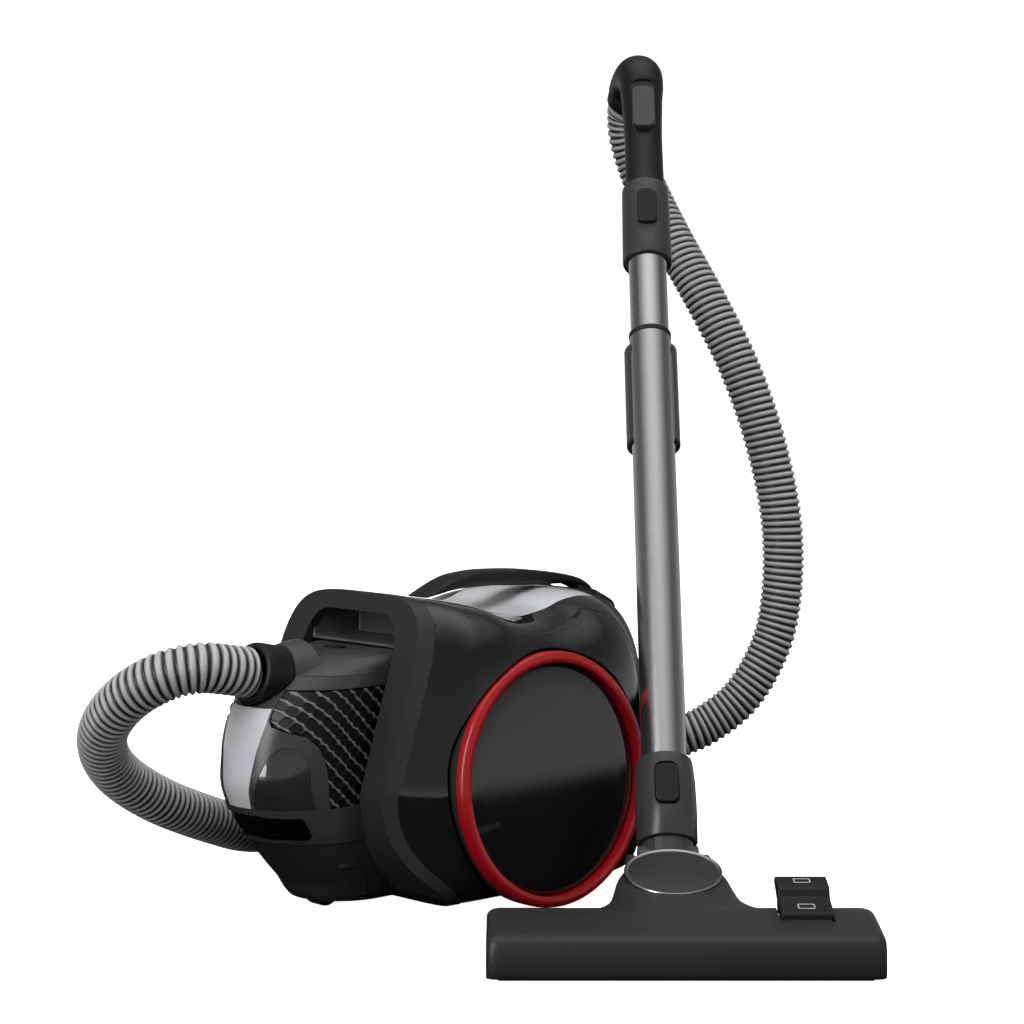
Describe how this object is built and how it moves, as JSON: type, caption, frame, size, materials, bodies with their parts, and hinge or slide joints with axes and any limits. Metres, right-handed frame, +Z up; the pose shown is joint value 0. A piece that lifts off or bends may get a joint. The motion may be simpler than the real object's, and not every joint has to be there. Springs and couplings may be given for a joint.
{
  "type": "canister vacuum cleaner",
  "caption": "Bagless canister vacuum with two large wheels, ribbed hose, telescopic steel wand and a wide floor head.",
  "frame": {"origin": "middle of the footprint of the machine, wand and floor head on the floor, without the hose", "axes": "+Z up, the front of the canister faces -Y, its left side faces +X"},
  "size_m": [0.707, 0.7756, 0.7442],
  "materials": {
    "bristle": "bristle",
    "clear_grey": "clear plastic",
    "copper": "wound",
    "dark_grey": "satin",
    "filter": "fleece",
    "gloss_black": "gloss",
    "hose_grey": "ribbed satin",
    "matte_black": "fine matte",
    "red": "satin",
    "rubber": "matte",
    "smoke": "smoked plastic",
    "steel": "brushed"
  },
  "bodies": {
    "canister": {"chassis": "matte_black", "side_shell_left": "gloss_black", "side_shell_right": "gloss_black", "front_frame": "dark_grey", "rear_shell": "matte_black", "top_cover": "gloss_black", "top_window": "clear_grey", "carry_handle": "matte_black", "motor_housing": "dark_grey", "motor_core": "copper", "motor_filter": "filter", "exhaust_filter": "filter", "chin": "matte_black", "head_body": "dark_grey", "badge_disc": "matte_black", "sole_plate": "matte_black", "hose_floor": "hose_grey"},
    "dust_container": {"container_casing": "dark_grey", "container_window": "clear_grey", "container_lid": "dark_grey", "arch_window_left": "smoke", "arch_window_right": "smoke", "grille_left": "dark_grey", "grille_right": "dark_grey", "hose_socket": "dark_grey", "cyclone_cup": "clear_grey", "mesh_filter": "steel", "slot_insert": "smoke", "hose_loop": "hose_grey"},
    "container_button": {"container_button": "matte_black"},
    "canister_cuff": {"hose_cuff_canister": "matte_black"},
    "wheel_left": {"tyre_left": "red", "wheel_disc_left": "gloss_black"},
    "wheel_right": {"tyre_right": "red", "wheel_disc_right": "gloss_black"},
    "caster_fork": {"caster_fork": "matte_black"},
    "caster_wheel": {"caster_wheel": "rubber"},
    "power_button": {"power_button": "dark_grey"},
    "rewind_button": {"rewind_button": "dark_grey"},
    "cord_reel": {"cord_reel": "dark_grey"},
    "fan": {"fan": "steel"},
    "foot_pedal": {"foot_pedal": "matte_black"},
    "bristle_strip": {"bristle_strip": "bristle"},
    "head_roller_left": {"head_roller_left": "rubber"},
    "head_roller_right": {"head_roller_right": "rubber"},
    "neck": {"wand_neck": "dark_grey"},
    "lower_tube": {"lower_tube": "steel", "lower_collar": "dark_grey", "telescope_clasp": "dark_grey", "tube_seal": "rubber", "hose_rise": "hose_grey"},
    "lower_release": {"lower_release": "matte_black"},
    "telescope_button": {"telescope_button": "matte_black"},
    "upper_tube": {"upper_tube": "steel", "handle_collar": "dark_grey", "handle_grip": "dark_grey", "hose_hang": "hose_grey"},
    "handle_release": {"handle_release": "matte_black"},
    "suction_slider": {"suction_slider": "dark_grey"},
    "handle_cuff": {"hose_cuff_handle": "matte_black"}
  },
  "joints": [
    {"name": "container_pull", "type": "slide", "parent": "canister", "child": "dust_container", "axis": [0, -1, 0], "range_m": [0, 0.09], "deforming": ["hose_loop"]},
    {"name": "container_button_press", "type": "slide", "parent": "dust_container", "child": "container_button", "axis": [0, 0, -1], "range_m": [0, 0.0015], "stiffness_N_per_m": 4000},
    {"name": "canister_cuff_turn", "type": "hinge", "parent": "dust_container", "child": "canister_cuff", "pos_m": [-0.15355, -0.30105, 0.1985], "axis": [0, -0.9763, 0.2164], "continuous": true},
    {"name": "wheel_left_spin", "type": "hinge", "parent": "canister", "child": "wheel_left", "pos_m": [-0.01555, -0.09105, 0.10511], "axis": [0.998, 0, 0.0628], "continuous": true},
    {"name": "wheel_right_spin", "type": "hinge", "parent": "canister", "child": "wheel_right", "pos_m": [-0.29155, -0.09105, 0.10511], "axis": [-0.998, 0, 0.0628], "continuous": true},
    {"name": "caster_swivel", "type": "hinge", "parent": "canister", "child": "caster_fork", "pos_m": [-0.15355, -0.23205, 0.038], "axis": [0, 0, 1], "continuous": true},
    {"name": "caster_wheel_spin", "type": "hinge", "parent": "caster_fork", "child": "caster_wheel", "pos_m": [-0.15355, -0.22805, 0.014], "axis": [1, 0, 0], "continuous": true},
    {"name": "power_button_press", "type": "slide", "parent": "canister", "child": "power_button", "axis": [0, 0, -1], "range_m": [0, 0.003], "stiffness_N_per_m": 3333.3},
    {"name": "rewind_button_press", "type": "slide", "parent": "canister", "child": "rewind_button", "axis": [0, 0, -1], "range_m": [0, 0.003], "stiffness_N_per_m": 3333.3},
    {"name": "cord_reel_spin", "type": "hinge", "parent": "canister", "child": "cord_reel", "pos_m": [-0.15355, 0.02695, 0.092], "axis": [1, 0, 0], "continuous": true},
    {"name": "fan_spin", "type": "hinge", "parent": "canister", "child": "fan", "pos_m": [-0.15355, -0.09105, 0.112], "axis": [0, 1, 0], "continuous": true},
    {"name": "pedal_rock", "type": "hinge", "parent": "canister", "child": "foot_pedal", "pos_m": [0.24215, -0.08715, 0.0395], "axis": [0.6884, 0.7254, 0], "range_deg": [-7, 7]},
    {"name": "bristle_drop", "type": "slide", "parent": "canister", "child": "bristle_strip", "axis": [0, 0, -1], "range_m": [-0.0032, 0.0032]},
    {"name": "head_roller_left_spin", "type": "hinge", "parent": "canister", "child": "head_roller_left", "pos_m": [0.09267, -0.10522, 0.0085], "axis": [0.6884, 0.7254, 0], "continuous": true},
    {"name": "head_roller_right_spin", "type": "hinge", "parent": "canister", "child": "head_roller_right", "pos_m": [0.12571, -0.0704, 0.0085], "axis": [0.6884, 0.7254, 0], "continuous": true},
    {"name": "wand_tilt", "type": "hinge", "parent": "canister", "child": "neck", "pos_m": [0.06784, -0.04857, 0.038], "axis": [0.6884, 0.7254, 0], "range_deg": [-3, 28], "deforming": ["hose_floor"]},
    {"name": "wand_swivel", "type": "hinge", "parent": "neck", "child": "lower_tube", "pos_m": [0.05971, -0.04086, 0.05457], "axis": [-0.4064, 0.3856, 0.8284], "range_deg": [-45, 45], "deforming": ["hose_rise"]},
    {"name": "lower_release_press", "type": "slide", "parent": "lower_tube", "child": "lower_release", "axis": [-0.6009, 0.5702, -0.5602], "range_m": [0, 0.0012], "stiffness_N_per_m": 5000},
    {"name": "telescope_button_slide", "type": "slide", "parent": "lower_tube", "child": "telescope_button", "axis": [-0.4064, 0.3856, 0.8284], "range_m": [-0.006, 0.006], "stiffness_N_per_m": 1333.3},
    {"name": "telescope_slide", "type": "slide", "parent": "lower_tube", "child": "upper_tube", "axis": [-0.4064, 0.3856, 0.8284], "range_m": [-0.075, 0.3], "deforming": ["hose_hang"]},
    {"name": "handle_release_press", "type": "slide", "parent": "upper_tube", "child": "handle_release", "axis": [-0.6009, 0.5702, -0.5602], "range_m": [0, 0.0015], "stiffness_N_per_m": 4000},
    {"name": "suction_slider_slide", "type": "slide", "parent": "upper_tube", "child": "suction_slider", "axis": [-0.4064, 0.3856, 0.8284], "range_m": [-0.008, 0.008]},
    {"name": "handle_cuff_turn", "type": "hinge", "parent": "upper_tube", "child": "handle_cuff", "pos_m": [-0.30203, 0.29265, 0.71027], "axis": [-0.5717, 0.3124, -0.7586], "continuous": true}
  ],
  "couplings": [
    {"joint": "bristle_drop", "follows": "pedal_rock", "m_per_rad": -0.0245}
  ]
}
